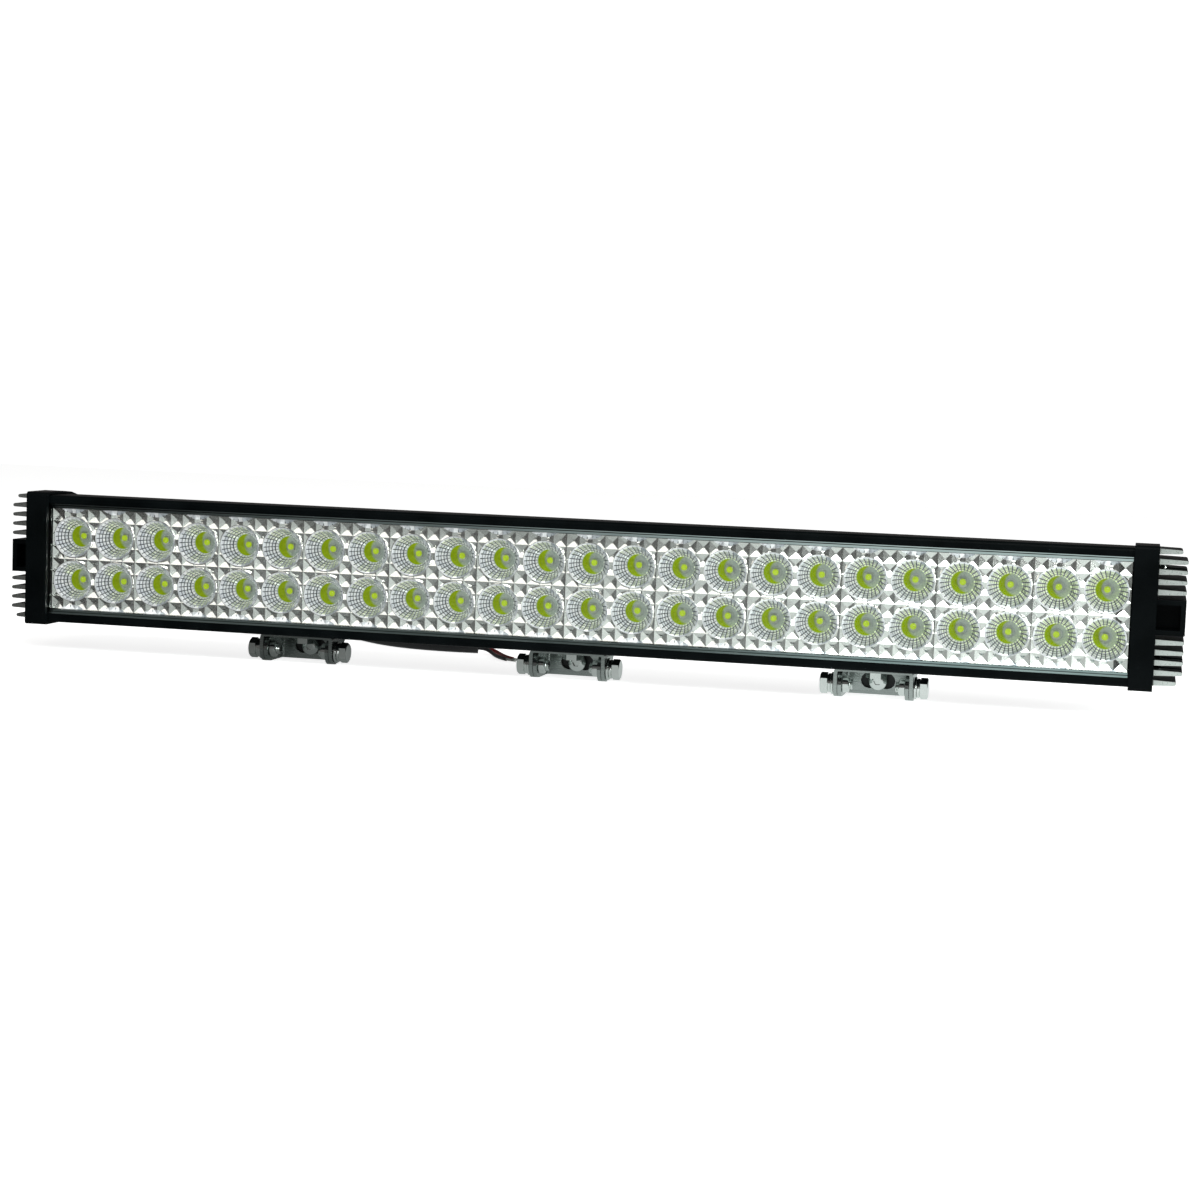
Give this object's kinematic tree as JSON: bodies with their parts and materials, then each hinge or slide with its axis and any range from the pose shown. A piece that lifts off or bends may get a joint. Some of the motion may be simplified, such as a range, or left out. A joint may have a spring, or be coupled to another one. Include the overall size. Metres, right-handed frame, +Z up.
{
  "type": "led light bar",
  "caption": "Long LED light bar with a finned black housing, a panel of faceted reflectors and tilting steel feet that slide along a slot underneath.",
  "frame": {"origin": "on the standing surface, under the middle of the bar and its end caps, with the cable left out", "axes": "+X along the bar, -Y the way it lights, +Z up"},
  "size_m": [0.656, 0.1748, 0.0903],
  "materials": {
    "housing": "black anodised extrusion, semi-gloss",
    "end_cap": "black coated die casting, fine satin",
    "rubber": "matt black gasket rubber",
    "clear_cover": "clear polycarbonate cover",
    "reflector": "metallised reflector tile, bright silver",
    "board": "white circuit board with yellow phosphor emitters",
    "driver": "potted driver in an aluminium case",
    "bezel": "bright trim strip, brushed along its length",
    "steel": "stainless sheet and M6 hardware",
    "gland": "black nylon gland",
    "jacket": "black cable jacket",
    "core_red": "red core insulation with a tinned bare end",
    "core_black": "black core insulation with a tinned bare end"
  },
  "bodies": {
    "bar": {"housing": "housing", "end_cap_left": "end_cap", "end_cap_right": "end_cap", "end_gasket_left": "rubber", "end_gasket_right": "rubber", "front_cover": "clear_cover", "bezel_strip_top": "bezel", "bezel_strip_bottom": "bezel", "led_board": "board", "led_driver": "driver", "cable_gland": "gland", "power_cable": "jacket", "core_red": "core_red", "core_black": "core_black", "reflector_module_01": "reflector", "reflector_module_02": "reflector", "reflector_module_03": "reflector", "reflector_module_04": "reflector", "reflector_module_05": "reflector", "reflector_module_06": "reflector", "reflector_module_07": "reflector", "reflector_module_08": "reflector", "reflector_module_09": "reflector", "reflector_module_10": "reflector", "reflector_module_11": "reflector", "reflector_module_12": "reflector", "end_cap_screw_left_top": "steel", "end_cap_screw_left_bottom": "steel", "end_cap_screw_right_top": "steel", "end_cap_screw_right_bottom": "steel"},
    "left_carriage": {"left_clamp": "steel", "left_clamp_bolt": "steel", "left_t_nut": "steel", "left_pivot_bolt_1": "steel", "left_pivot_bolt_2": "steel", "left_pivot_nut_1": "steel", "left_pivot_nut_2": "steel"},
    "left_foot_bracket": {"left_foot": "steel", "left_slot_bolt": "steel", "left_slot_nut": "steel"},
    "centre_carriage": {"centre_clamp": "steel", "centre_clamp_bolt": "steel", "centre_t_nut": "steel", "centre_pivot_bolt_1": "steel", "centre_pivot_bolt_2": "steel", "centre_pivot_nut_1": "steel", "centre_pivot_nut_2": "steel"},
    "centre_foot_bracket": {"centre_foot": "steel", "centre_slot_bolt": "steel", "centre_slot_nut": "steel"},
    "right_carriage": {"right_clamp": "steel", "right_clamp_bolt": "steel", "right_t_nut": "steel", "right_pivot_bolt_1": "steel", "right_pivot_bolt_2": "steel", "right_pivot_nut_1": "steel", "right_pivot_nut_2": "steel"},
    "right_foot_bracket": {"right_foot": "steel", "right_slot_bolt": "steel", "right_slot_nut": "steel"}
  },
  "joints": [
    {"name": "left_slide", "type": "slide", "parent": "bar", "child": "left_carriage", "axis": [1, 0, 0], "range_m": [-0.118, 0.05]},
    {"name": "left_tilt", "type": "hinge", "parent": "left_carriage", "child": "left_foot_bracket", "pos_m": [-0.1565, -0.007, 0.007], "axis": [-1, 0, 0], "range_deg": [0, 180]},
    {"name": "centre_slide", "type": "slide", "parent": "bar", "child": "centre_carriage", "axis": [1, 0, 0], "range_m": [-0.05, 0.05]},
    {"name": "centre_tilt", "type": "hinge", "parent": "centre_carriage", "child": "centre_foot_bracket", "pos_m": [0, -0.007, 0.007], "axis": [-1, 0, 0], "range_deg": [0, 180]},
    {"name": "right_slide", "type": "slide", "parent": "bar", "child": "right_carriage", "axis": [1, 0, 0], "range_m": [-0.05, 0.106]},
    {"name": "right_tilt", "type": "hinge", "parent": "right_carriage", "child": "right_foot_bracket", "pos_m": [0.168, -0.007, 0.007], "axis": [-1, 0, 0], "range_deg": [0, 180]}
  ]
}
